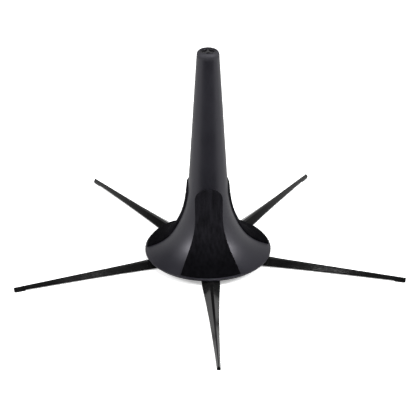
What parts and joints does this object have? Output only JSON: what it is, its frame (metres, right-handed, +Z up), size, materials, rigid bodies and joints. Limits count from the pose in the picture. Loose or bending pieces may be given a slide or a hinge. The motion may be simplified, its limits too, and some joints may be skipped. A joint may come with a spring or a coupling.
{
  "type": "trumpet stand",
  "caption": "In-bell trumpet stand: padded, flared hollow cone on a ribbed hub, with slim radial legs that fold up into the cone for storage.",
  "frame": {"origin": "on the stand's axis, at the level of the surface that the feet rest on", "axes": "+Z up along the cone; the first leg points along -Y"},
  "size_m": [0.311, 0.2957, 0.1805],
  "materials": {
    "cone_shell": "satin charcoal, finely textured moulding",
    "cap_plastic": "satin black",
    "pad_velvet": "black short-pile velvet",
    "hub_plastic": "satin black moulding",
    "leg_lacquer": "gloss black lacquer",
    "pin_steel": "bright ground steel",
    "foot_rubber": "matt black"
  },
  "bodies": {
    "hub": {"leg_hub": "hub_plastic", "hinge_pin_1": "pin_steel", "hinge_pin_2": "pin_steel", "hinge_pin_3": "pin_steel", "hinge_pin_4": "pin_steel", "hinge_pin_5": "pin_steel"},
    "cone": {"bell_cone": "cone_shell", "tip_cap": "cap_plastic", "bell_pad_1": "pad_velvet", "bell_pad_2": "pad_velvet", "bell_pad_3": "pad_velvet"},
    "leg_1": {"leg_1": "leg_lacquer", "foot_1": "foot_rubber"},
    "leg_2": {"leg_2": "leg_lacquer", "foot_2": "foot_rubber"},
    "leg_3": {"leg_3": "leg_lacquer", "foot_3": "foot_rubber"},
    "leg_4": {"leg_4": "leg_lacquer", "foot_4": "foot_rubber"},
    "leg_5": {"leg_5": "leg_lacquer", "foot_5": "foot_rubber"}
  },
  "joints": [
    {"name": "cone_lift", "type": "slide", "parent": "hub", "child": "cone", "axis": [0, 0, 1], "range_m": [0, 0.2]},
    {"name": "leg_1_fold", "type": "hinge", "parent": "hub", "child": "leg_1", "pos_m": [0, -0.012, 0.0039], "axis": [-1, 0, 0], "range_deg": [0, 94]},
    {"name": "leg_2_fold", "type": "hinge", "parent": "hub", "child": "leg_2", "pos_m": [0.01141, -0.00371, 0.0039], "axis": [-0.309, -0.9511, 0], "range_deg": [0, 94]},
    {"name": "leg_3_fold", "type": "hinge", "parent": "hub", "child": "leg_3", "pos_m": [0.00705, 0.00971, 0.0039], "axis": [0.809, -0.5878, 0], "range_deg": [0, 94]},
    {"name": "leg_4_fold", "type": "hinge", "parent": "hub", "child": "leg_4", "pos_m": [-0.00705, 0.00971, 0.0039], "axis": [0.809, 0.5878, 0], "range_deg": [0, 94]},
    {"name": "leg_5_fold", "type": "hinge", "parent": "hub", "child": "leg_5", "pos_m": [-0.01141, -0.00371, 0.0039], "axis": [-0.309, 0.9511, 0], "range_deg": [0, 94]}
  ],
  "couplings": [
    {"joint": "leg_1_fold", "follows": "cone_lift", "rad_per_m": 8.2025},
    {"joint": "leg_2_fold", "follows": "cone_lift", "rad_per_m": 8.2025},
    {"joint": "leg_3_fold", "follows": "cone_lift", "rad_per_m": 8.2025},
    {"joint": "leg_4_fold", "follows": "cone_lift", "rad_per_m": 8.2025},
    {"joint": "leg_5_fold", "follows": "cone_lift", "rad_per_m": 8.2025}
  ]
}
